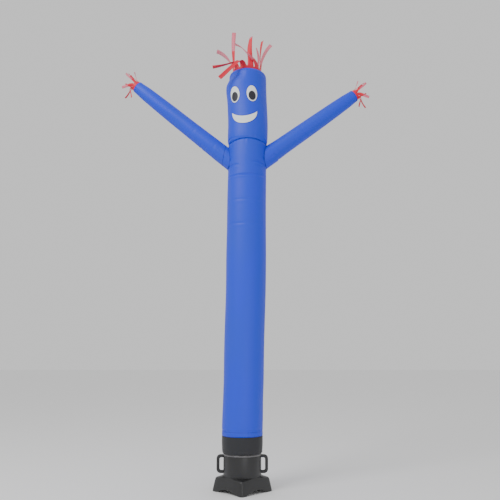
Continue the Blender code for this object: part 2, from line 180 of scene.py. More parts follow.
def weave_group() -> bpy.types.NodeTree:
    """The height of a plain weave with a stronger thread at every check, as in ripstop.

    Returns:
        The group; its inputs are Threads and Check, its output is Height.
    """
    group, sheet, given, out = new_group("weave", {"Threads": 700.0, "Check": 60.0}, ("Height",))
    place = sheet.add("ShaderNodeUVMap")
    split = sheet.add("ShaderNodeSeparateXYZ")
    sheet.join(place.outputs[0], split.inputs[0])
    lines = []
    for axis in (0, 1):
        thread = sheet.math("SINE", sheet.math("MULTIPLY", split.outputs[axis], given.outputs["Threads"]))
        check = sheet.math("SINE", sheet.math("MULTIPLY", split.outputs[axis], given.outputs["Check"]))
        strong = sheet.math("POWER", sheet.math("ABSOLUTE", check), 40.0)
        lines.append(sheet.math("ADD", sheet.math("MULTIPLY", thread, 0.35), strong))
    sheet.join(sheet.math("ADD", lines[0], lines[1]), out.inputs["Height"])
    return group


def mottle_group() -> bpy.types.NodeTree:
    """Slow changes over a surface: shading of the cloth, and finer rubbing or dust.

    Returns:
        The group; its inputs are Broad and Fine, its outputs are Broad and Fine.
    """
    group, sheet, given, out = new_group("mottle", {"Broad": 2.0, "Fine": 40.0}, ("Broad", "Fine"))
    sheet.join(sheet.noise(given.outputs["Broad"], 3.0, (1.0, 1.0, 0.5)), out.inputs["Broad"])
    sheet.join(sheet.noise(given.outputs["Fine"], 5.0), out.inputs["Fine"])
    return group


GROUPS: dict[str, bpy.types.NodeTree] = {}


def group_node(sheet: NodeSheet, name: str, **values: float) -> bpy.types.Node:
    """Place a shared group in a material, building it the first time.

    Args:
        sheet: the material's sheet.
        name: weave or mottle.
        **values: the group's inputs, by name.

    Returns:
        The group's node.
    """
    if name not in GROUPS:
        GROUPS[name] = {"weave": weave_group, "mottle": mottle_group}[name]()
    node = sheet.add("ShaderNodeGroup")
    node.node_tree = GROUPS[name]
    for key, value in values.items():
        node.inputs[key].default_value = value
    return node


# ---------------------------------------------------------------- finishes


@dataclass(frozen=True)
class Finish:
    """One surface: two close colours, a roughness, and a small relief."""

    name: str
    colour: tuple[float, float, float]
    second: tuple[float, float, float]
    roughness: float
    relief: float = 0.0004
    threads: float = 900.0
    check: float = 0.0
    sheen: float = 0.0
    coat: float = 0.0
    alpha: float = 1.0
    grain: float = 0.0

    def material(self) -> bpy.types.Material:
        """Build the finish's material once.

        Returns:
            The material.
        """
        if self.name in bpy.data.materials:
            return bpy.data.materials[self.name]
        made = bpy.data.materials.new(self.name)
        made.use_nodes = True
        sheet = NodeSheet(made.node_tree)
        shader = made.node_tree.nodes["Principled BSDF"]
        mottle = group_node(sheet, "mottle", Broad=2.2, Fine=55.0)
        blend = sheet.add("ShaderNodeMix", data_type="RGBA")
        blend.inputs["A"].default_value = (*self.colour, 1.0)
        blend.inputs["B"].default_value = (*self.second, 1.0)
        spread = sheet.add("ShaderNodeMapRange")
        spread.inputs["From Min"].default_value = 0.35
        spread.inputs["From Max"].default_value = 0.65
        sheet.join(mottle.outputs["Broad"], spread.inputs["Value"])
        sheet.join(spread.outputs[0], blend.inputs["Factor"])
        sheet.join(blend.outputs["Result"], shader.inputs["Base Color"])
        rough = sheet.math("ADD", sheet.math("MULTIPLY", mottle.outputs["Fine"], 0.12), self.roughness - 0.06)
        sheet.join(rough, shader.inputs["Roughness"])
        self.add_relief(sheet, shader, mottle)
        shader.inputs["Sheen Weight"].default_value = self.sheen
        shader.inputs["Sheen Roughness"].default_value = 0.4
        shader.inputs["Coat Weight"].default_value = self.coat
        shader.inputs["Coat Roughness"].default_value = 0.25
        shader.inputs["Alpha"].default_value = self.alpha
        return made

    def add_relief(self, sheet: NodeSheet, shader: bpy.types.Node, mottle: bpy.types.Node) -> None:
        """Join the weave or the grain to the shader's normal.

        Args:
            sheet: the material's sheet.
            shader: the Principled shader.
            mottle: the placed mottle group.
        """
        bump = sheet.add("ShaderNodeBump")
        bump.inputs["Distance"].default_value = self.relief
        bump.inputs["Strength"].default_value = 0.6
        if self.grain:
            sheet.join(sheet.noise(self.grain, 2.0), bump.inputs["Height"])
        else:
            weave = group_node(sheet, "weave", Threads=self.threads, Check=self.check)
            both = sheet.math("ADD", weave.outputs["Height"], sheet.math("MULTIPLY", mottle.outputs["Fine"], 0.8))
            sheet.join(both, bump.inputs["Height"])
        sheet.join(bump.outputs["Normal"], shader.inputs["Normal"])


BLUE = Finish("ripstop_blue", (0.006, 0.040, 0.74), (0.010, 0.052, 0.66), 0.5, check=420.0)
NAVY = Finish("seam_navy", (0.006, 0.020, 0.30), (0.008, 0.026, 0.34), 0.6)
RED = Finish("thin_red", (0.80, 0.004, 0.030), (0.62, 0.004, 0.030), 0.48, sheen=0.2)
# The sheer tips are really see-through thin red cloth. Their lighter pink colour is painted light shining through that
# cloth.
SHEER_BACKLIT = Finish("sheer_red_painted_backlight", (0.86, 0.085, 0.18), (0.80, 0.16, 0.25), 0.5, sheen=0.2, alpha=0.62)
BLACK = Finish("cuff_black", (0.016, 0.018, 0.022), (0.022, 0.021, 0.026), 0.72, sheen=0.15)
WHITE = Finish("patch_white", (0.86, 0.90, 0.90), (0.80, 0.84, 0.84), 0.6)
PUPIL = Finish("patch_black", (0.010, 0.010, 0.016), (0.018, 0.017, 0.028), 0.55)
PLASTIC = Finish("moulded_black", (0.0085, 0.0085, 0.0095), (0.014, 0.014, 0.015), 0.40, grain=900.0, coat=0.15)
# The lip is the same black plastic as the drum. Its grey colour is a painted highlight, the bright sky's reflection
# along its rounded top; its gloss is real.
LIP_PAINTED_HIGHLIGHT = Finish("lip_painted_highlight_grey", (0.075, 0.072, 0.078), (0.11, 0.105, 0.11), 0.25, grain=600.0, coat=0.5)


# ---------------------------------------------------------------- meshes


def mesh_object(name: str, points: np.ndarray, faces: list, uvs: np.ndarray, finishes: list[Finish],
                picks: list[int] | None = None) -> bpy.types.Object:
    """Make a smooth object from points and faces.

    Args:
        name: the object's name.
        points: an array of places, a row each.
        faces: lists of point numbers.
        uvs: for each point, its place along and across the cloth in metres.
        finishes: the object's materials.
        picks: the material of each face, or None for the first.

    Returns:
        The object, linked to the scene.
    """
    mesh = bpy.data.meshes.new(name)
    mesh.from_pydata(points.tolist(), [], faces)
    layer = mesh.uv_layers.new(name="cloth")
    order = np.empty(len(mesh.loops), dtype=np.int32)
    mesh.loops.foreach_get("vertex_index", order)
    layer.data.foreach_set("uv", uvs[order].astype(np.float32).ravel())
    for finish in finishes:
        mesh.materials.append(finish.material())
    if picks:
        mesh.polygons.foreach_set("material_index", picks)
    mesh.shade_smooth()
    made = bpy.data.objects.new(name, mesh)
    bpy.context.collection.objects.link(made)
    return made


def grid_faces(rows: int, columns: int, wrap: bool, start: int = 0) -> list[tuple[int, ...]]:
    """Quads between neighbouring rows of points.

    Args:
        rows: number of rows.
        columns: number of points in a row.
        wrap: whether each row closes on itself.
        start: number of the first point.

    Returns:
        The faces, each a tuple of point numbers.
    """
    faces = []
    for i in range(rows - 1):
        for k in range(columns if wrap else columns - 1):
            after = (k + 1) % columns
            low, high = start + i * columns, start + (i + 1) * columns
            faces.append((low + k, low + after, high + after, high + k))
    return faces


def thicken(piece: bpy.types.Object, thickness: float, side: float) -> None:
    """Give a sheet its thickness, applied to its mesh.

    Args:
        piece: the sheet.
        thickness: in metres.
        side: -1 inside, 0 both, 1 outside.
    """
    solid = piece.modifiers.new("thickness", "SOLIDIFY")
    solid.thickness = thickness
    solid.offset = side
    graph = bpy.context.evaluated_depsgraph_get()
    graph.update()
    made = bpy.data.meshes.new_from_object(piece.evaluated_get(graph))
    piece.modifiers.clear()
    piece.data = made


def settle(piece: bpy.types.Object, nodes: tuple[str, ...] = ()) -> None:
    """Ride a piece on the one body, and hide the CAD nodes that it stands for.

    Args:
        piece: the finished piece.
        nodes: the CAD nodes that it replaces.
    """
    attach(piece, "root")
    if nodes:
        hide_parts(*nodes)
    LOG.info("%s: %d faces", piece.name, len(piece.data.polygons))


def sweep(name: str, path: np.ndarray, normals: np.ndarray, width: float, height: float,
          finish: Finish, stitch: float = 0.0) -> bpy.types.Object:
    """A flat closed cord along a closed path, as of a sewn edge.

    Args:
        name: the object's name.
        path: points along the path, the last joining the first.
        normals: the outward direction at each point.
        width: the cord's width, along the surface.
        height: its height off the surface.
        finish: its finish.
        stitch: length of a stitch, or 0 for a smooth cord.

    Returns:
        The object.
    """
    sides = 8
    ahead = np.roll(path, -1, axis=0) - np.roll(path, 1, axis=0)
    ahead /= np.linalg.norm(ahead, axis=1, keepdims=True)
    across = np.cross(normals, ahead)
    run = np.concatenate(([0.0], np.cumsum(np.linalg.norm(np.diff(path, axis=0), axis=1))))
    swell = 1.0 if not stitch else 0.72 + 0.28 * np.abs(np.sin(math.pi * run / stitch))[:, None]
    rings = []
    for k in range(sides):
        turn = FULL_TURN * k / sides
        rings.append(path + across * (math.cos(turn) * width / 2.0) + normals * (math.sin(turn) * height * swell))
    points = np.stack(rings, axis=1).reshape(-1, 3)
    count = len(path)
    faces = []
    for i in range(count):
        after = (i + 1) % count
        for k in range(sides):
            beside = (k + 1) % sides
            faces.append((i * sides + k, after * sides + k, after * sides + beside, i * sides + beside))
    uvs = np.stack((np.repeat(run, sides), np.tile(np.arange(sides) * width / sides, count)), axis=1)
    return mesh_object(name, points, faces, uvs, [finish])


# ---------------------------------------------------------------- tube walls


def smooth_between(at: np.ndarray, places: np.ndarray, values: np.ndarray) -> np.ndarray:
    """A smooth curve through values that doesn't swing past them.

    Args:
        at: where the curve is read.
        places: the values' places, rising.
        values: the values.

    Returns:
        The curve's value at each place.
    """
    step = np.diff(places)
    rise = np.diff(values) / step
    slope = np.zeros_like(values)
    same = rise[:-1] * rise[1:] > 0.0
    total = rise[:-1] + rise[1:]
    slope[1:-1] = np.where(same, 2.0 * rise[:-1] * rise[1:] / np.where(same, total, 1.0), 0.0)
    slope[0], slope[-1] = rise[0], rise[-1]
    spot = np.clip(np.searchsorted(places, at) - 1, 0, len(step) - 1)
    part = np.clip((at - places[spot]) / step[spot], 0.0, 1.0)
    first, second = values[spot], values[spot + 1]
    start, end = slope[spot] * step[spot], slope[spot + 1] * step[spot]
    return (first * (1 + 2 * part) * (1 - part) ** 2 + start * part * (1 - part) ** 2
            + second * part ** 2 * (3 - 2 * part) + end * part ** 2 * (part - 1))


@dataclass(frozen=True)
class Ring:
    """One ring of a tube: height, middle, radius, and the drop of its two sides."""

    height: float
    middle: float
    radius: float
    drop: float = 0.0


@dataclass(frozen=True)
class Crease:
    """A soft trough across a tube: where it is, how far it reaches, and how it bows."""

    turn: float
    height: float
    wide: float
    tall: float
    depth: float
    bow: float = 0.0
    slant: float = 0.0


@dataclass
class TubeWall:
    """The wall of an upright tube, from its table of rings and its creases."""

    rings: tuple[Ring, ...]
    creases: tuple[Crease, ...] = ()
    gathers: tuple[tuple[float, float, float], ...] = ()
    waver: float = 0.0012
    columns: int = 128
    seed: int = SEED

    def column(self, name: str) -> np.ndarray:
        """One column of the table of rings."""
        return np.array([getattr(ring, name) for ring in self.rings])

    def middle_and_radius(self, height: np.ndarray) -> tuple[np.ndarray, np.ndarray]:
        """The plain tube at some heights.

        Args:
            height: the heights.

        Returns:
            The middle and the radius at each.
        """
        places = self.column("height")
        return (smooth_between(height, places, self.column("middle")),
                smooth_between(height, places, self.column("radius")))

    def relief(self, turn: np.ndarray, height: np.ndarray) -> np.ndarray:
        """How far the wall lies inside the plain tube.

        Args:
            turn: angles from the front.
            height: heights, one for each angle.

        Returns:
            The depth at each place; negative stands out.
        """
        depth = np.zeros_like(turn)
        degrees = np.degrees(turn)
        for crease in self.creases:
            across = (degrees - crease.turn + 180.0) % 360.0 - 180.0
            share = across / crease.wide
            reach = np.clip(1.0 - share ** 2, 0.0, 1.0)
            line = crease.height + crease.bow * share ** 2 + crease.slant * share
            away = (height - line) / crease.tall
            depth += crease.depth * reach * (np.exp(-away ** 2) - 0.4 * np.exp(-((away + 2.4) / 1.6) ** 2))
        draw = np.random.default_rng(self.seed)
        for _ in range(7):
            wave, phase, rate = draw.integers(2, 6), draw.uniform(0, FULL_TURN), draw.uniform(1.0, 5.0)
            depth += self.waver / 3.0 * np.sin(wave * turn + phase + rate * height)
        for place, reach, size in self.gathers:
            close = np.exp(-np.abs(height - place) / reach)
            for _ in range(6):
                wave, phase = draw.integers(14, 40), draw.uniform(0, FULL_TURN)
                depth += size / 3.0 * close * np.sin(wave * turn + phase)
        return depth

    def heights(self) -> np.ndarray:
        """The rows' heights, close together where the wall is creased."""
        low, high = self.rings[0].height, self.rings[-1].height
        rows = [np.linspace(low, high, max(12, int((high - low) / 0.035)))]
        rows += [self.column("height")]
        for crease in self.creases:
            span = abs(crease.bow) + abs(crease.slant) + 4.0 * crease.tall
            count = int(2.0 * span / (crease.tall * 0.55)) + 2
            rows.append(np.linspace(crease.height - span, crease.height + span, count))
        for place, reach, _ in self.gathers:
            rows.append(np.linspace(place - 2.0 * reach, place + 2.0 * reach, 14))
        every = np.sort(np.concatenate(rows))
        every = every[(every >= low) & (every <= high)]
        kept = [every[0]]
        for value in every[1:]:
            if value - kept[-1] > 0.0035:
                kept.append(value)
        kept[-1] = high
        return np.array(kept)

    def points(self, turn: np.ndarray, height: np.ndarray, lift: float = 0.0) -> np.ndarray:
        """Places on the wall.

        Args:
            turn: angles from the front.
            height: heights, one for each angle.
            lift: distance off the wall.

        Returns:
            The places, a row each.
        """
        middle, radius = self.middle_and_radius(height)
        drop = np.interp(height, self.column("height"), self.column("drop"))
        radius = radius - self.relief(turn, height) + lift
        level = height - drop * np.sin(turn) ** 2
        return np.stack((middle + radius * np.sin(turn), -radius * np.cos(turn), level), axis=-1)

    def build(self, name: str, finish: Finish) -> bpy.types.Object:
        """The tube as a thick open sheet.

        Args:
            name: the piece's name.
            finish: its finish.

        Returns:
            The piece.
        """
        heights = self.heights()
        turns = np.arange(self.columns) * FULL_TURN / self.columns
        turn, height = np.meshgrid(turns, heights)
        points = self.points(turn.ravel(), height.ravel())
        radius = float(np.mean(self.column("radius")))
        uvs = np.stack((turn.ravel() * radius, height.ravel()), axis=1)
        piece = mesh_object(name, points, grid_faces(len(heights), self.columns, True), uvs, [finish])
        thicken(piece, CLOTH, -1)
        return piece

    def girth_and_length(self) -> tuple[float, float]:
        """The cloth's flat width and length."""
        return FULL_TURN * float(np.mean(self.column("radius"))), self.rings[-1].height - self.rings[0].height

    def seam(self, name: str, height: float, finish: Finish, width: float = 0.006) -> bpy.types.Object:
        """A sewn ring around the tube.

        Args:
            name: the piece's name.
            height: the ring's height.
            finish: its finish.
            width: its width.

        Returns:
            The piece.
        """
        turn = np.arange(self.columns * 4) * FULL_TURN / (self.columns * 4)
        path = self.points(turn, np.full_like(turn, height), 0.0006)
        normals = np.stack((np.sin(turn), -np.cos(turn), np.zeros_like(turn)), axis=1)
        return sweep(name, path, normals, width, 0.0012, finish, stitch=0.009)


BODY = TubeWall(
    rings=(
        Ring(0.6604, 0.000, 0.2510), Ring(0.672, 0.000, 0.2540), Ring(0.700, 0.000, 0.2535),
        Ring(0.717, 0.000, 0.2512), Ring(0.745, 0.000, 0.2545), Ring(0.850, 0.002, 0.2545),
        Ring(1.100, 0.008, 0.2515), Ring(1.350, 0.016, 0.2520), Ring(1.700, 0.021, 0.2540),
        Ring(2.100, 0.031, 0.2560), Ring(2.500, 0.041, 0.2580), Ring(2.900, 0.045, 0.2600),
        Ring(3.300, 0.049, 0.2570), Ring(3.620, 0.050, 0.2570), Ring(3.910, 0.054, 0.2555),
        Ring(4.080, 0.057, 0.2535), Ring(4.250, 0.059, 0.2560), Ring(4.370, 0.060, 0.2550, 0.008),
        Ring(4.420, 0.061, 0.2510, 0.026), Ring(4.438, 0.061, 0.2440, 0.034),
    ),
    creases=(
        Crease(0, 3.950, 75, 0.010, 0.0090, -0.012), Crease(28, 3.962, 40, 0.007, 0.0050, -0.006),
        Crease(-58, 4.096, 36, 0.012, 0.0110, -0.016), Crease(-52, 4.060, 26, 0.009, 0.0050, 0.000, 0.012),
        Crease(44, 4.128, 34, 0.012, 0.0110, -0.020, -0.012), Crease(50, 4.085, 26, 0.010, 0.0050, -0.02),
        Crease(-70, 4.170, 24, 0.014, 0.0060, 0.0, 0.030), Crease(66, 4.190, 22, 0.014, 0.0050, 0.0, -0.03),
        Crease(8, 3.620, 70, 0.012, 0.0034, -0.008), Crease(-8, 3.306, 76, 0.012, 0.0034, -0.006),
        Crease(170, 3.80, 60, 0.012, 0.0060, -0.010), Crease(200, 4.02, 60, 0.012, 0.0070, 0.010),
        Crease(150, 4.20, 50, 0.012, 0.0050, 0.0, 0.02), Crease(190, 2.70, 70, 0.014, 0.0035),
        Crease(-20, 0.735, 60, 0.009, 0.0030, -0.01), Crease(48, 0.742, 40, 0.008, 0.0045, 0.0, 0.010),
        Crease(-55, 0.727, 34, 0.007, 0.0045, 0.0, -0.008),
    ),
    gathers=((0.690, 0.035, 0.0022), (4.430, 0.040, 0.0030)),
)
HEAD = TubeWall(
    rings=(
        Ring(4.440, 0.061, 0.2450, 0.034), Ring(4.452, 0.061, 0.2560, 0.028),
        Ring(4.480, 0.062, 0.2645, 0.016), Ring(4.540, 0.064, 0.2680), Ring(4.700, 0.067, 0.2675),
        Ring(4.900, 0.061, 0.2675), Ring(5.050, 0.055, 0.2675), Ring(5.240, 0.050, 0.2675),
        Ring(5.335, 0.050, 0.2670), Ring(5.378, 0.051, 0.2620), Ring(5.406, 0.052, 0.2470),
        Ring(5.422, 0.053, 0.2240), Ring(5.430, 0.054, 0.1880),
    ),
    creases=(
        Crease(-62, 5.350, 60, 0.070, 0.0380), Crease(-60, 4.474, 34, 0.008, 0.0060, -0.02),
        Crease(-50, 5.300, 40, 0.012, 0.0050, 0.0, 0.05), Crease(60, 5.345, 40, 0.012, 0.0030, 0.0, -0.03),
        Crease(180, 5.200, 60, 0.014, 0.0050, 0.03), Crease(150, 4.62, 60, 0.014, 0.0050, -0.02),
    ),
    gathers=((4.447, 0.035, 0.0030), (5.425, 0.030, 0.0020)),
    seed=SEED + 1,
)
CUFF = TubeWall(
    rings=(
        Ring(0.4504, 0.0, 0.2360), Ring(0.460, 0.0, 0.2440), Ring(0.480, 0.0, 0.2490),
        Ring(0.520, 0.0, 0.2520), Ring(0.590, 0.0, 0.2545), Ring(0.640, 0.0, 0.2540), Ring(0.660, 0.0, 0.2520),
    ),
    creases=(
        Crease(-52, 0.505, 30, 0.007, 0.0050, 0.0, -0.014), Crease(-44, 0.485, 30, 0.006, 0.0040, 0.0, -0.016),
        Crease(20, 0.500, 40, 0.008, 0.0025), Crease(120, 0.500, 40, 0.008, 0.0045, 0.0, 0.015),
    ),
    gathers=((0.462, 0.035, 0.0026), (0.655, 0.02, 0.0012)),
    seed=SEED + 2,
)


@dataclass
class Tubes:
    """The upright cloth: body, head and cuff, with their sewn rings."""

    body: TubeWall = field(default_factory=lambda: BODY)
    head: TubeWall = field(default_factory=lambda: HEAD)
    cuff: TubeWall = field(default_factory=lambda: CUFF)
    hem_height: float = 0.7165
    back_seam_turn: float = math.pi

    def build(self) -> None:
        """Make each tube, its stitching and its back seam."""
        table = (
            ("body", self.body, BLUE, "body_tube", Slot.BLUE, (self.hem_height,)),
            ("head", self.head, BLUE, "head_tube", Slot.BLUE, ()),
            ("cuff_sleeve", self.cuff, BLACK, "cuff", Slot.BLACK, (0.466, 0.648)),
        )
        for name, wall, finish, node, slot, seams in table:
            piece = wall.build(name, finish)
            settle(piece, (node,))
            extras = []
            for index, height in enumerate(seams):
                extras.append(wall.seam(f"{name}_stitching_{index + 1}", height, NAVY if slot is Slot.BLUE else BLACK, 0.003))
            extras.append(self.back_seam(name, wall, finish))
            for extra in extras:
                settle(extra)
            wall.girth_and_length()

    def back_seam(self, name: str, wall: TubeWall, finish: Finish) -> bpy.types.Object:
        """The folded seam down the back of a tube.

        Args:
            name: the tube's name.
            wall: its wall.
            finish: its finish.

        Returns:
            The seam.
        """
        heights = wall.heights()
        width = 0.012 / float(np.mean(wall.column("radius")))
        parts = np.linspace(-0.5, 0.5, 7)
        turn, height = np.meshgrid(self.back_seam_turn + parts * width, heights)
        lift = 0.0002 + 0.0016 * (1.0 - (2.0 * np.tile(parts, len(heights))) ** 4)
        points = wall.points(turn.ravel(), height.ravel(), lift)
        uvs = np.stack((turn.ravel() * 0.25, height.ravel()), axis=1)
        piece = mesh_object(f"{name}_back_seam", points, grid_faces(len(heights), 7, False), uvs, [finish])
        thicken(piece, 0.0006, -1)
        return piece


# ---------------------------------------------------------------- sleeves


@dataclass
class Sleeve:
    """A tapered sleeve from the body to a hand, both ends at y = 0."""

    name: str
    node: str
    root: tuple[float, float]
    hand: tuple[float, float]
    stations: tuple[tuple[float, float], ...]
    creases: tuple[Crease, ...] = ()
    gusset: tuple[float, float] | None = None
    columns: int = 96
    rows: int = 90
    seed: int = SEED

    def axes(self) -> tuple[np.ndarray, np.ndarray, np.ndarray, np.ndarray, float]:
        """The sleeve's root, front, other side, direction and length."""
        root = np.array([self.root[0], 0.0, self.root[1]])
        run = np.array([self.hand[0], 0.0, self.hand[1]]) - root
        length = float(np.linalg.norm(run))
        along = run / length
        front = np.array([0.0, -1.0, 0.0])
        return root, front, np.cross(along, front), along, length

    def wall(self, turn: np.ndarray, station: np.ndarray, relief: bool = True) -> np.ndarray:
        """Places on the sleeve.

        Args:
            turn: angles around the sleeve from its front.
            station: places along it, 0 at the root and 1 at the hand.
            relief: whether creases and gathers are taken off.

        Returns:
            The places, a row each.
        """
        root, front, other, along, length = self.axes()
        table = np.array(self.stations)
        radius = smooth_between(station, table[:, 0], table[:, 1])
        if relief:
            radius = radius - self.relief(turn, station)
        outward = np.cos(turn)[:, None] * front + np.sin(turn)[:, None] * other
        return root + along * (length * station)[:, None] + outward * radius[:, None]

    def relief(self, turn: np.ndarray, station: np.ndarray) -> np.ndarray:
        """How far the cloth lies inside the plain sleeve.

        Args:
            turn: angles around the sleeve.
            station: places along it.

        Returns:
            The depth at each place.
        """
        depth = np.zeros_like(turn)
        length = self.axes()[4]
        for crease in self.creases:
            across = (np.degrees(turn) - crease.turn + 180.0) % 360.0 - 180.0
            share = across / crease.wide
            reach = np.clip(1.0 - share ** 2, 0.0, 1.0)
            away = (station - crease.height - crease.bow * share ** 2 - crease.slant * share) * length / crease.tall
            depth += crease.depth * reach * (np.exp(-away ** 2) - 0.4 * np.exp(-((away + 2.4) / 1.6) ** 2))
        draw = np.random.default_rng(self.seed)
        for _ in range(6):
            wave, phase, rate = draw.integers(2, 5), draw.uniform(0, FULL_TURN), draw.uniform(4.0, 14.0)
            depth += 0.0005 * np.sin(wave * turn + phase + rate * station)
        for place, size in ((self.first_station(), 0.0026), (1.0, 0.0022)):
            close = np.exp(-np.abs(station - place) * length / 0.035)
            for _ in range(6):
                wave, phase = draw.integers(8, 24), draw.uniform(0, FULL_TURN)
                depth += size / 3.0 * close * np.sin(wave * turn + phase)
        return depth

    def first_station(self) -> float:
        """About where the sleeve starts."""
        return 0.04

    def at_body(self, turn: np.ndarray, gap: float = 0.0008) -> np.ndarray:
        """Where the sleeve's wall meets the body.

        Args:
            turn: angles around the sleeve.
            gap: distance kept from the body's wall.

        Returns:
            The station at each angle.
        """
        inside, outside = np.full_like(turn, -0.3), np.full_like(turn, 0.5)
        for _ in range(30):
            station = (inside + outside) / 2.0
            point = self.wall(turn, station, relief=False)
            middle, radius = BODY.middle_and_radius(point[:, 2])
            within = np.hypot(point[:, 0] - middle, point[:, 1]) < radius + gap
            inside, outside = np.where(within, station, inside), np.where(within, outside, station)
        return outside

    def gusset_end(self, turn: np.ndarray) -> np.ndarray:
        """Where a gusset ends and the sleeve begins.

        Args:
            turn: angles around the sleeve.

        Returns:
            The station at each angle.
        """
        length = self.axes()[4]
        ends = self.at_body(np.array([math.pi / 2.0, -math.pi / 2.0]))
        top, bottom = ends[0] + self.gusset[0] / length, ends[1] + self.gusset[1] / length
        return (top + bottom) / 2.0 + (top - bottom) / 2.0 * np.sin(turn)

    def stretch(self, name: str, start: Callable, end: Callable, rows: int, node: str) -> bpy.types.Object:
        """One piece of the sleeve between two stations.

        Args:
            name: the piece's name.
            start: gives the first station at each angle.
            end: gives the last one.
            rows: number of rows.
            node: the CAD node that it replaces.

        Returns:
            The piece.
        """
        turns = np.arange(self.columns) * FULL_TURN / self.columns
        first, last = start(turns), end(turns)
        part = np.linspace(0.0, 1.0, rows) ** 1.15
        station = first[None, :] + (last - first)[None, :] * part[:, None]
        turn = np.tile(turns, (rows, 1))
        points = self.wall(turn.ravel(), station.ravel())
        length = self.axes()[4]
        radius = self.stations[len(self.stations) // 2][1]
        uvs = np.stack((turn.ravel() * radius, station.ravel() * length), axis=1)
        piece = mesh_object(name, points, grid_faces(rows, self.columns, True), uvs, [BLUE])
        thicken(piece, CLOTH, -1)
        settle(piece, (node,))
        seam_turn = np.arange(self.columns * 3) * FULL_TURN / (self.columns * 3)
        path = self.wall(seam_turn, start(seam_turn) + 0.003)
        _, front, other, _, _ = self.axes()
        normals = np.cos(seam_turn)[:, None] * front + np.sin(seam_turn)[:, None] * other
        seam = sweep(f"{name}_seam", path, normals, 0.005, 0.0018, NAVY, stitch=0.008)
        settle(seam)
        return piece

    def build(self) -> None:
        """Make the sleeve, and its gusset if it has one."""
        whole = np.ones_like
        if self.gusset:
            self.stretch("shoulder_gusset", self.at_body, lambda turn: self.gusset_end(turn) - 0.0003, 14, "gusset_left")
            self.stretch(self.name, self.gusset_end, whole, self.rows, self.node)
        else:
            self.stretch(self.name, self.at_body, whole, self.rows, self.node)


LEFT_SLEEVE = Sleeve(
    "left_sleeve", "arm_left", (-0.250, 4.272), (-1.440, 5.248),
    ((-0.3, 0.122), (0.0, 0.121), (0.15, 0.117), (0.5, 0.107), (0.88, 0.094), (1.0, 0.077)),
    creases=(Crease(-30, 0.10, 60, 0.012, 0.004, 0.01, 0.01), Crease(20, 0.34, 60, 0.012, 0.0025, 0.0, 0.01),
             Crease(30, 0.62, 50, 0.012, 0.0025), Crease(-100, 0.20, 60, 0.012, 0.004)),
    gusset=(0.028, 0.098),
)
RIGHT_SLEEVE = Sleeve(
    "right_sleeve", "arm_right", (0.320, 4.256), (1.508, 5.119),
    ((-0.3, 0.131), (0.0, 0.130), (0.15, 0.119), (0.5, 0.108), (0.88, 0.095), (1.0, 0.082)),
    creases=(Crease(80, 0.075, 70, 0.012, 0.008, 0.0, 0.012), Crease(40, 0.12, 40, 0.010, 0.004, 0.0, 0.012),
             Crease(-20, 0.40, 60, 0.012, 0.0025), Crease(10, 0.70, 50, 0.012, 0.0025)),
    seed=SEED + 5,
)


# ---------------------------------------------------------------- streamers


@dataclass(frozen=True)
class Strip:
    """A strip of a fringe: its angle on the ring, size, leans, twist, and from where it is sheer, in a lighter pink
    that paints the light shining through.
    """

    at: float
    length: float
    width: float
    out_low: float
    out_high: float
    side_low: float
    side_high: float
    twist: float
    backlit_from: float = 1.1


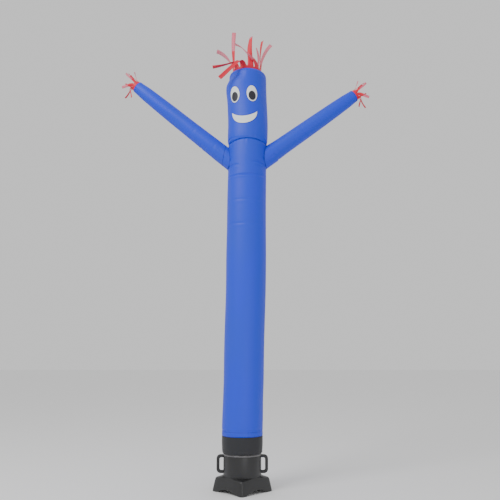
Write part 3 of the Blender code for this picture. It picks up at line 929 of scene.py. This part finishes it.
@dataclass
class Streamers:
    """A band with strips, one sheet of thin red cloth."""

    name: str
    node: str
    radius: float
    flare: float
    band: float
    slit: float
    strips: tuple[Strip, ...]
    steps: int = 28
    columns: int = 5
    cup: float = 0.10

    def build(self, origin: np.ndarray, front: np.ndarray, along: np.ndarray, hand: int = 1) -> bpy.types.Object:
        """Make the comb.

        Args:
            origin: middle of the ring that it is sewn to.
            front: the direction at angle 0.
            along: the direction in which the band runs.
            hand: -1 mirrors the strips.

        Returns:
            The piece.
        """
        other = np.cross(along, front)
        strips = sorted(self.strips, key=lambda strip: hand * strip.at)
        pitch = FULL_TURN / len(strips)
        open_part = self.slit / self.radius
        points: list[np.ndarray] = []
        faces: list[tuple[int, ...]] = []
        picks: list[int] = []
        rows, edge = 5, self.columns
        ring = len(strips) * edge
        for i in range(rows):
            part = i / (rows - 1)
            reach = self.radius * (1.0 + (self.flare - 1.0) * part)
            for strip in strips:
                for k in range(edge):
                    turn = math.radians(hand * strip.at) + (k / (edge - 1) - 0.5) * (pitch - open_part)
                    outward = front * math.cos(turn) + other * math.sin(turn)
                    points.append(origin + along * (self.band * part) + outward * reach)
        faces += grid_faces(rows, ring, True)
        picks += [0] * len(faces)
        for index, strip in enumerate(strips):
            first = (rows - 1) * ring + index * edge
            self.add_strip(points, faces, picks, strip, first, front, other, along, hand)
        whole = np.array(points)
        uvs = np.stack((whole[:, 0] - whole[:, 1], whole[:, 2]), axis=1)
        piece = mesh_object(self.name, whole, faces, uvs, [RED, SHEER_BACKLIT], picks)
        thicken(piece, STRIP_CLOTH, 0)
        settle(piece, (self.node,))
        return piece

    def add_strip(self, points: list, faces: list, picks: list, strip: Strip, first: int, front: np.ndarray,
                  other: np.ndarray, along: np.ndarray, hand: int) -> None:
        """Grow one strip from the band's edge.

        Args:
            points: the comb's points, added to.
            faces: its faces, added to.
            picks: each face's material, added to.
            strip: the strip's sizes.
            first: number of the band's first point under the strip.
            front: the direction at angle 0.
            other: the direction at a quarter turn.
            along: the direction in which the band runs.
            hand: -1 mirrors the strip.
        """
        edge = self.columns
        turn = math.radians(hand * strip.at)
        outward = front * math.cos(turn) + other * math.sin(turn)
        sideways = other * math.cos(turn) - front * math.sin(turn)
        root = np.array(points[first:first + edge])
        middle, root_width = root.mean(axis=0), float(np.linalg.norm(root[-1] - root[0]))
        draw = np.random.default_rng(abs(int(strip.at)) + 7)
        phase = draw.uniform(0, FULL_TURN)
        before = list(range(first, first + edge))
        for i in range(1, self.steps + 1):
            part = i / self.steps
            start = min(1.0, part * 3.0)
            out = math.radians(strip.out_low * start + (strip.out_high - strip.out_low) * part)
            side = math.radians(strip.side_low * start + (strip.side_high - strip.side_low) * part) * hand
            heading = (along * math.cos(out) + outward * math.sin(out)) * math.cos(side) + sideways * math.sin(side)
            across = sideways - heading * float(sideways @ heading)
            across /= np.linalg.norm(across)
            face = np.cross(heading, across)
            twist = math.radians(strip.twist) * part * hand
            half = across * math.cos(twist) + face * math.sin(twist)
            up = np.cross(heading, half)
            middle = middle + heading * (strip.length / self.steps)
            width = strip.width + (root_width - strip.width) * max(0.0, 1.0 - part * 4.0)
            now = []
            for k in range(edge):
                share = 2.0 * k / (edge - 1) - 1.0
                lift = self.cup * width * min(1.0, part * 4.0) * (share ** 2 - 0.4)
                lift += 0.05 * width * part * math.sin(9.0 * part + phase + share)
                now.append(len(points))
                points.append(middle + half * (share * width / 2.0) + up * lift)
            for k in range(edge - 1):
                faces.append((before[k], before[k + 1], now[k + 1], now[k]))
                # Faces further out take the sheer finish, whose lighter pink is painted light shining through.
                picks.append(1 if part > strip.backlit_from else 0)
            before = now


HEAD_STREAMERS = Streamers("head_fringe", "head_streamers", 0.186, 1.03, 0.035, 0.012, (
    Strip(-165, 0.32, 0.060, 15, 40, -10, -20, 20, 0.3), Strip(-135, 0.36, 0.060, 15, 45, -15, -20, -25, 0.3),
    Strip(-105, 0.42, 0.082, 5, 65, 0, 20, 30, 0.35), Strip(-75, 0.535, 0.056, 10, -5, 15, 0, 75, 0.5),
    Strip(-45, 0.38, 0.045, 130, 100, -10, -50, 45), Strip(-15, 0.50, 0.056, 150, 165, -30, -45, -25),
    Strip(15, 0.46, 0.066, 0, -15, -15, 15, -60, 0.93), Strip(45, 0.46, 0.064, 30, -60, -95, -20, 20, 0.30),
    Strip(75, 0.42, 0.056, 0, 10, -25, 10, 55), Strip(105, 0.46, 0.050, -5, 40, 0, -10, 80, 0.3),
    Strip(135, 0.42, 0.066, 25, -25, -20, 5, -35, 0.3), Strip(165, 0.32, 0.060, 15, 40, 8, 20, 15, 0.3),
))
HAND_STRIPS = (
    Strip(-157, 0.16, 0.030, 10, 0, 15, 10, 20), Strip(-112, 0.17, 0.028, 115, 85, 10, 15, 25),
    Strip(-67, 0.18, 0.026, 150, 140, 10, -15, -30), Strip(-22, 0.17, 0.036, 25, 15, -50, -55, 15, 0.5),
    Strip(22, 0.19, 0.026, 10, 5, -15, 10, -40, 0.4), Strip(67, 0.19, 0.036, -5, 5, -10, 10, 25),
    Strip(112, 0.18, 0.026, 25, 35, -5, -15, -50, 0.4), Strip(157, 0.19, 0.028, 5, 5, -30, -10, 35),
)


def build_streamers() -> None:
    """Make the head's fringe and the two at the hands."""
    vent = HEAD.rings[-1]
    front, up = np.array([0.0, -1.0, 0.0]), np.array([0.0, 0.0, 1.0])
    HEAD_STREAMERS.build(np.array([vent.middle, 0.0, vent.height + 0.0008]), front, up)
    for name, node, sleeve, hand in (("left_hand_fringe", "hand_streamers_left", LEFT_SLEEVE, 1),
                                     ("right_hand_fringe", "hand_streamers_right", RIGHT_SLEEVE, -1)):
        root, front, _, along, length = sleeve.axes()
        comb = Streamers(name, node, 0.074, 0.94, 0.030, 0.008, HAND_STRIPS, steps=18, columns=4)
        comb.build(root + along * (length + 0.0008), front, along, hand)


# ---------------------------------------------------------------- face


@dataclass
class Face:
    """The sewn-on patches of a plain smiling face, laid over the head's wall."""

    middle_arc: float = -0.052
    eye_spread: float = 0.120
    eye_height: float = 5.046
    eye_half: tuple[float, float] = (0.075, 0.1135)
    pupil_drop: float = 0.029
    pupil_half: tuple[float, float] = (0.046, 0.062)
    mouth_height: float = 4.810
    mouth_half: float = 0.183
    mouth_sags: tuple[float, float] = (0.072, 0.176)
    radius: float = 0.2675

    def lay(self, arc: np.ndarray, height: np.ndarray, lift: float) -> np.ndarray:
        """Places over the head's wall from arcs and heights."""
        return HEAD.points(arc / self.radius, height, lift)

    def patch(self, name: str, rim: tuple[np.ndarray, np.ndarray], middle: tuple[np.ndarray, np.ndarray],
              lift: float, finish: Finish, slot: Slot, thread: Finish) -> None:
        """A patch with a sewn edge.

        Args:
            name: the piece's name, the same as its CAD node's with an ending.
            rim: arcs and heights around the edge.
            middle: for each point of the rim, the place that it shrinks towards.
            lift: distance off the head.
            finish: the patch's finish.
            slot: not used.
            thread: the edge's finish.
        """
        rows, count = 12, len(rim[0])
        points, uvs = [], []
        for i in range(rows):
            part = i / (rows - 1)
            arc = rim[0] + (middle[0] - rim[0]) * part
            height = rim[1] + (middle[1] - rim[1]) * part
            points.append(self.lay(arc, height, lift + 0.0010 * math.sqrt(part)))
            uvs.append(np.stack((arc, height), axis=1))
        piece = mesh_object(name + "_patch", np.concatenate(points), grid_faces(rows, count, True),
                            np.concatenate(uvs), [finish])
        thicken(piece, 0.0009, 0)
        settle(piece, (name,))
        path = self.lay(rim[0], rim[1], lift + 0.0006)
        turn = rim[0] / self.radius
        normals = np.stack((np.sin(turn), -np.cos(turn), np.zeros_like(turn)), axis=1)
        edge = sweep(name + "_stitching", path, normals, 0.0050, 0.0016, thread, stitch=0.006)
        settle(edge)

    def oval(self, arc: float, height: float, half: tuple[float, float]) -> tuple[tuple, tuple]:
        """The rim of an oval and its middle.

        Args:
            arc: the middle's arc.
            height: the middle's height.
            half: half its width and height.

        Returns:
            The rim and the middle, for patch.
        """
        turn = -np.arange(160) * FULL_TURN / 160
        rim = (arc + half[0] * np.cos(turn), height + half[1] * np.sin(turn))
        return rim, (np.full(160, arc), np.full(160, height))

    def crescent(self) -> tuple[tuple, tuple]:
        """The rim of the mouth and its middle line.

        Returns:
            The rim and the middle, for patch.
        """
        across = np.sin(np.linspace(-math.pi / 2.0, math.pi / 2.0, 110))
        upper = self.mouth_height - self.mouth_sags[0] * (1.0 - across ** 2)
        lower = self.mouth_height - 0.006 - (self.mouth_sags[1] - 0.006) * np.sqrt(1.0 - across ** 2)
        arcs = self.middle_arc + self.mouth_half * across
        rim = (np.concatenate((arcs, arcs[::-1])), np.concatenate((upper, lower[::-1])))
        line = (upper + lower) / 2.0
        inner = self.middle_arc + self.mouth_half * across * 0.97
        return rim, (np.concatenate((inner, inner[::-1])), np.concatenate((line, line[::-1])))

    def build(self) -> None:
        """Make the eyes, their pupils and the mouth."""
        for name, side in (("left", -1), ("right", 1)):
            arc = self.middle_arc + side * self.eye_spread
            self.patch(f"eye_{name}", *self.oval(arc, self.eye_height, self.eye_half), 0.0012, WHITE, Slot.WHITE, NAVY)
            height = self.eye_height - self.pupil_drop
            self.patch(f"pupil_{name}", *self.oval(arc, height, self.pupil_half), 0.0032, PUPIL, Slot.PUPIL, PUPIL)
        self.patch("mouth", *self.crescent(), 0.0012, WHITE, Slot.WHITE, NAVY)


# ---------------------------------------------------------------- blower


@dataclass
class Blower:
    """The moulded blower: drum with collar, lip, four-legged base and two grips."""

    drum_radius: float = 0.2345
    drum_bottom: float = 0.172
    collar_radius: float = 0.228
    collar_top: float = 0.58
    lip_radius: float = 0.2395
    lip_bottom: float = 0.426
    lip_top: float = 0.450
    arch: float = 0.045
    blunt: float = 0.05
    pad_degrees: float = 6.0
    sides: int = 192

    def turned(self, name: str, profile: list[tuple[float, float]], finish: Finish) -> bpy.types.Object:
        """A solid of revolution from a closed profile.

        Args:
            name: the piece's name.
            profile: radius and height, in order round the section.
            finish: its finish.

        Returns:
            The piece.
        """
        turn = np.arange(self.sides) * FULL_TURN / self.sides
        rows = [np.stack((r * np.sin(turn), -r * np.cos(turn), np.full_like(turn, z)), axis=1) for r, z in profile]
        points = np.concatenate(rows)
        faces = grid_faces(len(profile), self.sides, True)
        if profile[0][0] == profile[-1][0] and profile[0][1] != profile[-1][1]:
            last = (len(profile) - 1) * self.sides
            for k in range(self.sides):
                after = (k + 1) % self.sides
                faces.append((last + k, last + after, after, k))
        else:
            faces.append(tuple(range(self.sides - 1, -1, -1)))
            faces.append(tuple(range((len(profile) - 1) * self.sides, len(profile) * self.sides)))
        piece = mesh_object(name, points, faces, points[:, :2], [finish])
        piece.data.set_sharp_from_angle(angle=math.radians(50))
        return piece

    def rounded(self, corner: tuple[float, float], radius: float, start: float, end: float) -> list:
        """Points of a rounded corner of a profile."""
        turns = np.radians(np.linspace(start, end, 6))
        return [(corner[0] + radius * math.cos(t), corner[1] + radius * math.sin(t)) for t in turns]

    def build_drum(self) -> None:
        """The drum, its collar and the dish inside."""
        low, high, r, c = self.drum_bottom, self.lip_bottom - 0.0004, self.drum_radius, self.collar_radius
        profile = [(0.05, low)]
        profile += self.rounded((r - 0.010, low + 0.010), 0.010, -90, 0)
        profile += self.rounded((r - 0.003, high - 0.003), 0.003, 0, 90)
        profile += [(c, high), (c, self.collar_top - 0.003)]
        profile += self.rounded((c - 0.006, self.collar_top - 0.006), 0.006, 0, 180)
        profile += [(c - 0.012, self.collar_top - 0.05), (0.05, self.collar_top - 0.05)]
        piece = self.turned("drum", profile, PLASTIC)
        settle(piece, ("blower_drum",))

    def build_lip(self) -> None:
        """The rolled lip under the cuff, whose grey finish paints the highlight along its rounded top."""
        inner, r = self.collar_radius + 0.0006, self.lip_radius
        profile = [(inner, self.lip_bottom)]
        profile += self.rounded((r - 0.007, self.lip_bottom + 0.007), 0.007, -90, 0)
        profile += self.rounded((r - 0.009, self.lip_top - 0.0095), 0.009, 0, 90)
        profile += [(inner, self.lip_top - 0.0005)]
        piece = self.turned("lip", profile, LIP_PAINTED_HIGHLIGHT)
        settle(piece, ("blower_lip",))

    def ring(self, height: float, leg: float, side: float, arched: float) -> np.ndarray:
        """One ring of the base: four blunt legs and the hollow sides between them.

        Args:
            height: the ring's height at the legs.
            leg: its reach at the legs.
            side: its reach between them.
            arched: share of the arch that lifts it between the legs.

        Returns:
            The ring's points.
        """
        turn = np.arange(self.sides) * FULL_TURN / self.sides
        power = 1.0 / (0.5 - math.log2(side / leg))
        tip = ((1.0 + self.blunt ** 2) ** (power / 2.0) + self.blunt ** power) ** (1.0 / power)
        spans = np.hypot(np.cos(turn), self.blunt) ** power + np.hypot(np.sin(turn), self.blunt) ** power
        reach = leg * tip / spans ** (1.0 / power)
        from_leg = np.abs((np.degrees(turn) + 45.0) % 90.0 - 45.0)
        climb = np.clip((from_leg - self.pad_degrees) / (45.0 - self.pad_degrees), 0.0, 1.0)
        level = height + arched * self.arch * np.sin(climb * math.pi / 2.0)
        return np.stack((reach * np.sin(turn), -reach * np.cos(turn), level), axis=1)

    def build_base(self) -> None:
        """The four-legged base with the drum's seat."""
        seat = self.drum_radius + 0.0006
        table = (
            (0.055, 0.250, 0.190, 0.0), (0.050, 0.262, 0.204, 0.2), (0.000, 0.290, 0.232, 1.0),
            (0.000, 0.359, 0.249, 1.0), (0.004, 0.363, 0.2515, 1.0), (0.012, 0.3635, 0.252, 0.97),
            (0.030, 0.360, 0.251, 0.85), (0.060, 0.353, 0.2495, 0.5), (0.090, 0.346, 0.248, 0.25),
            (0.120, 0.339, 0.247, 0.1), (0.145, 0.332, 0.246, 0.0), (0.156, 0.328, 0.245, 0.0),
            (0.163, 0.322, 0.244, 0.0), (0.168, 0.313, 0.243, 0.0), (0.172, 0.300, 0.242, 0.0),
            (0.179, 0.268, 0.240, 0.0), (0.184, 0.246, 0.238, 0.0), (0.186, seat, seat, 0.0),
            (0.173, seat, seat, 0.0),
        )
        rings = [self.ring(*row) for row in table]
        points = np.concatenate(rings)
        faces = grid_faces(len(rings), self.sides, True)
        faces.append(tuple(range(self.sides - 1, -1, -1)))
        faces.append(tuple(range((len(rings) - 1) * self.sides, len(rings) * self.sides)))
        piece = mesh_object("base", points, faces, points[:, :2], [PLASTIC])
        piece.data.set_sharp_from_angle(angle=math.radians(60))
        settle(piece, ("blower_base",))

    def dress_grips(self) -> None:
        """Give the CAD model's grips the plastic's finish."""
        for name in ("handle_left", "handle_right"):
            node = bpy.data.objects[name]
            node.data.materials.clear()
            node.data.materials.append(PLASTIC.material())
            LOG.info("%s: finish only", name)

    def build(self) -> None:
        """Make the blower."""
        self.build_drum()
        self.build_lip()
        self.build_base()
        self.dress_grips()


# ---------------------------------------------------------------- studio


@dataclass
class Studio:
    """A pale floor, soft light from the upper left, and the camera."""

    eye: tuple[float, float, float] = (0.095, -8.0, 1.65)
    tilt: float = 9.538
    lens: float = 44.755

    def light(self, name: str, place: tuple, aim: tuple, size: float, power: float) -> None:
        """Add a soft square light.

        Args:
            name: the light's name.
            place: where it is.
            aim: the point that it faces.
            size: its side.
            power: in watts.
        """
        lamp = bpy.data.lights.new(name, "AREA")
        lamp.size = size
        lamp.energy = power
        made = bpy.data.objects.new(name, lamp)
        made.location = place
        made.rotation_euler = (Vector(aim) - Vector(place)).to_track_quat("-Z", "Y").to_euler()
        bpy.context.collection.objects.link(made)

    def build(self) -> None:
        """Set up the floor, the lights and the camera."""
        mesh = bpy.data.meshes.new("floor")
        mesh.from_pydata([(-60, -60, 0), (60, -60, 0), (60, 60, 0), (-60, 60, 0)], [], [(0, 1, 2, 3)])
        floor = bpy.data.objects.new("floor", mesh)
        paper = bpy.data.materials.new("pale_floor")
        paper.use_nodes = True
        shader = paper.node_tree.nodes["Principled BSDF"]
        shader.inputs["Base Color"].default_value = (0.92, 0.92, 0.92, 1.0)
        shader.inputs["Roughness"].default_value = 0.9
        mesh.materials.append(paper)
        bpy.context.collection.objects.link(floor)
        world = bpy.data.worlds.new("soft_sky")
        world.use_nodes = True
        world.node_tree.nodes["Background"].inputs["Color"].default_value = (1.0, 1.0, 1.0, 1.0)
        world.node_tree.nodes["Background"].inputs["Strength"].default_value = 0.8
        bpy.context.scene.world = world
        self.light("key", (-5.5, -6.0, 9.0), (0.0, 0.0, 3.2), 4.0, 520.0)
        self.light("low_front", (2.0, -7.0, 1.5), (0.0, 0.0, 1.0), 2.0, 60.0)
        view = bpy.data.cameras.new("camera")
        view.lens = self.lens
        view.sensor_width = 36.0
        camera = bpy.data.objects.new("camera", view)
        camera.location = self.eye
        camera.rotation_euler = (math.radians(90.0 + self.tilt), 0.0, 0.0)
        bpy.context.collection.objects.link(camera)
        bpy.context.scene.camera = camera


def main() -> None:
    """Build and dress the whole object."""
    Studio().build()
    Tubes().build()
    LEFT_SLEEVE.build()
    RIGHT_SLEEVE.build()
    build_streamers()
    Face().build()
    Blower().build()


if __name__ == "__main__":
    main()
